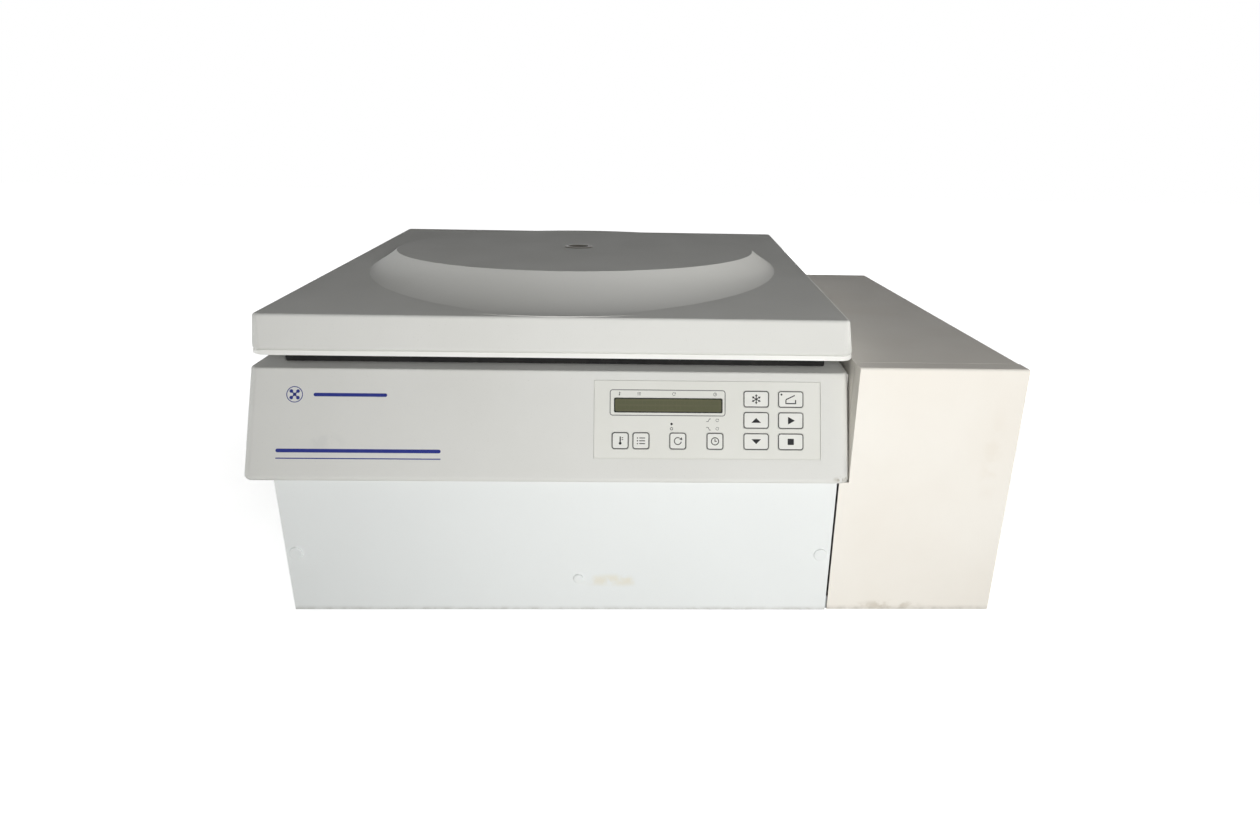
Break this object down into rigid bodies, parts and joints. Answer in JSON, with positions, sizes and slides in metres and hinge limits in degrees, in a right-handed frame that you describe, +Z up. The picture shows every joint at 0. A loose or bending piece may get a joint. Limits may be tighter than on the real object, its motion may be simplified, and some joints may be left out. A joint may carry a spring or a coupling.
{
  "type": "refrigerated bench centrifuge",
  "caption": "Refrigerated bench centrifuge with a hinged domed lid, leaning control band, swing-out rotor and a cooling unit in a side housing.",
  "frame": {"origin": "bottom centre of the whole machine, on the bench under its feet", "axes": "+Z up, -Y towards the user and the control band, +X towards the cooling unit's side housing"},
  "size_m": [0.7078, 0.6079, 0.3387],
  "materials": {
    "cabinet_paint": "satin",
    "cream_paint": "satin",
    "zinc_sheet": "matte",
    "housing_plastic": "fine texture",
    "fascia_film": "satin film",
    "display": "gloss",
    "board": "satin",
    "steel_bowl": "brushed",
    "foam": "matte",
    "copper": "satin",
    "rubber": "matte",
    "motor_casting": "cast",
    "steel": "turned",
    "compressor_paint": "gloss",
    "condenser_metal": "satin",
    "black_plastic": "satin",
    "liner_plastic": "satin",
    "glass": "gloss",
    "rotor_metal": "anodised",
    "nut_metal": "knurled"
  },
  "bodies": {
    "cabinet": {"front_panel": "cabinet_paint", "left_side_panel": "cabinet_paint", "rear_panel": "cabinet_paint", "partition_wall": "cabinet_paint", "side_cover": "cream_paint", "side_front_panel": "cream_paint", "rear_grille": "cream_paint", "base_tray": "zinc_sheet", "lock_frame": "zinc_sheet", "hinge_brackets": "zinc_sheet", "upper_housing": "housing_plastic", "screw_caps": "housing_plastic", "control_overlay": "fascia_film", "display_module": "display", "keypad_board": "board", "chamber_bowl": "steel_bowl", "chamber_insulation": "foam", "evaporator_coil": "copper", "shaft_seal": "rubber", "motor_dampers": "rubber", "rear_bumpers": "rubber", "rubber_feet": "rubber", "motor_housing": "motor_casting", "fan_motor": "motor_casting", "motor_bearings": "steel", "compressor": "compressor_paint", "condenser": "condenser_metal", "mains_inlet": "black_plastic", "switch_frame": "black_plastic"},
    "lid": {"lid_cover": "housing_plastic", "lid_base_plate": "zinc_sheet", "lid_liner": "liner_plastic", "lid_seal": "rubber", "sight_tube": "black_plastic", "sight_glass": "glass", "lid_hinge_arms": "zinc_sheet", "lid_striker": "zinc_sheet"},
    "rotor": {"motor_shaft": "steel", "rotor_cross": "rotor_metal", "rotor_nut": "nut_metal", "trunnion_pins": "steel"},
    "fan": {"fan_rotor": "black_plastic"},
    "power_rocker": {"mains_rocker": "black_plastic"},
    "plug": {"release_plug": "housing_plastic"},
    "hook_left": {"latch_hook_left": "zinc_sheet"},
    "hook_right": {"latch_hook_right": "zinc_sheet"},
    "bucket_1": {"swing_bucket_1": "rotor_metal"},
    "bucket_2": {"swing_bucket_2": "rotor_metal"},
    "bucket_3": {"swing_bucket_3": "rotor_metal"},
    "bucket_4": {"swing_bucket_4": "rotor_metal"},
    "button_temperature": {"key_temperature": "fascia_film"},
    "button_program": {"key_program": "fascia_film"},
    "button_speed": {"key_speed": "fascia_film"},
    "button_time": {"key_time": "fascia_film"},
    "button_down": {"key_down": "fascia_film"},
    "button_up": {"key_up": "fascia_film"},
    "button_fast_cool": {"key_fast_cool": "fascia_film"},
    "button_stop": {"key_stop": "fascia_film"},
    "button_start": {"key_start": "fascia_film"},
    "button_open": {"key_open": "fascia_film"}
  },
  "joints": [
    {"name": "lid_hinge", "type": "hinge", "parent": "cabinet", "child": "lid", "pos_m": [-0.0715, 0.258, 0.29418], "axis": [-1, 0, 0], "range_deg": [0, 78]},
    {"name": "rotor_spin", "type": "hinge", "parent": "cabinet", "child": "rotor", "pos_m": [-0.0715, 0.024, 0.196], "axis": [0, 0, 1], "continuous": true},
    {"name": "fan_spin", "type": "hinge", "parent": "cabinet", "child": "fan", "pos_m": [0.27725, 0.207, 0.145], "axis": [0, 1, 0], "continuous": true},
    {"name": "power_rocker_tilt", "type": "hinge", "parent": "cabinet", "child": "power_rocker", "pos_m": [0.07425, 0.279, 0.079], "axis": [-1, 0, 0], "range_deg": [0, 14]},
    {"name": "release_plug_pull", "type": "slide", "parent": "cabinet", "child": "plug", "axis": [0, -1, 0], "range_m": [0, 0.012]},
    {"name": "lock_left", "type": "hinge", "parent": "cabinet", "child": "hook_left", "pos_m": [-0.2615, -0.191, 0.22097], "axis": [1, 0, 0], "range_deg": [0, 40]},
    {"name": "lock_right", "type": "hinge", "parent": "cabinet", "child": "hook_right", "pos_m": [0.1185, -0.191, 0.22097], "axis": [1, 0, 0], "range_deg": [0, 40]},
    {"name": "bucket_1_swing", "type": "hinge", "parent": "rotor", "child": "bucket_1", "pos_m": [0.0465, 0.024, 0.196], "axis": [0, -1, 0], "range_deg": [0, 90]},
    {"name": "bucket_2_swing", "type": "hinge", "parent": "rotor", "child": "bucket_2", "pos_m": [-0.0715, 0.142, 0.196], "axis": [1, 0, 0], "range_deg": [0, 90]},
    {"name": "bucket_3_swing", "type": "hinge", "parent": "rotor", "child": "bucket_3", "pos_m": [-0.1895, 0.024, 0.196], "axis": [0, 1, 0], "range_deg": [0, 90]},
    {"name": "bucket_4_swing", "type": "hinge", "parent": "rotor", "child": "bucket_4", "pos_m": [-0.0715, -0.094, 0.196], "axis": [-1, 0, 0], "range_deg": [0, 90]},
    {"name": "press_temperature", "type": "slide", "parent": "cabinet", "child": "button_temperature", "axis": [0, 0.9189, -0.3945], "range_m": [0, 0.0006], "stiffness_N_per_m": 800, "springref_m": -0.0005},
    {"name": "press_program", "type": "slide", "parent": "cabinet", "child": "button_program", "axis": [0, 0.9189, -0.3945], "range_m": [0, 0.0006], "stiffness_N_per_m": 800, "springref_m": -0.0005},
    {"name": "press_speed", "type": "slide", "parent": "cabinet", "child": "button_speed", "axis": [0, 0.9189, -0.3945], "range_m": [0, 0.0006], "stiffness_N_per_m": 800, "springref_m": -0.0005},
    {"name": "press_time", "type": "slide", "parent": "cabinet", "child": "button_time", "axis": [0, 0.9189, -0.3945], "range_m": [0, 0.0006], "stiffness_N_per_m": 800, "springref_m": -0.0005},
    {"name": "press_down", "type": "slide", "parent": "cabinet", "child": "button_down", "axis": [0, 0.9189, -0.3945], "range_m": [0, 0.0006], "stiffness_N_per_m": 800, "springref_m": -0.0005},
    {"name": "press_up", "type": "slide", "parent": "cabinet", "child": "button_up", "axis": [0, 0.9189, -0.3945], "range_m": [0, 0.0006], "stiffness_N_per_m": 800, "springref_m": -0.0005},
    {"name": "press_fast_cool", "type": "slide", "parent": "cabinet", "child": "button_fast_cool", "axis": [0, 0.9189, -0.3945], "range_m": [0, 0.0006], "stiffness_N_per_m": 800, "springref_m": -0.0005},
    {"name": "press_stop", "type": "slide", "parent": "cabinet", "child": "button_stop", "axis": [0, 0.9189, -0.3945], "range_m": [0, 0.0006], "stiffness_N_per_m": 800, "springref_m": -0.0005},
    {"name": "press_start", "type": "slide", "parent": "cabinet", "child": "button_start", "axis": [0, 0.9189, -0.3945], "range_m": [0, 0.0006], "stiffness_N_per_m": 800, "springref_m": -0.0005},
    {"name": "press_open", "type": "slide", "parent": "cabinet", "child": "button_open", "axis": [0, 0.9189, -0.3945], "range_m": [0, 0.0006], "stiffness_N_per_m": 800, "springref_m": -0.0005}
  ],
  "couplings": [
    {"joint": "lock_right", "follows": "lock_left", "ratio": 1}
  ]
}
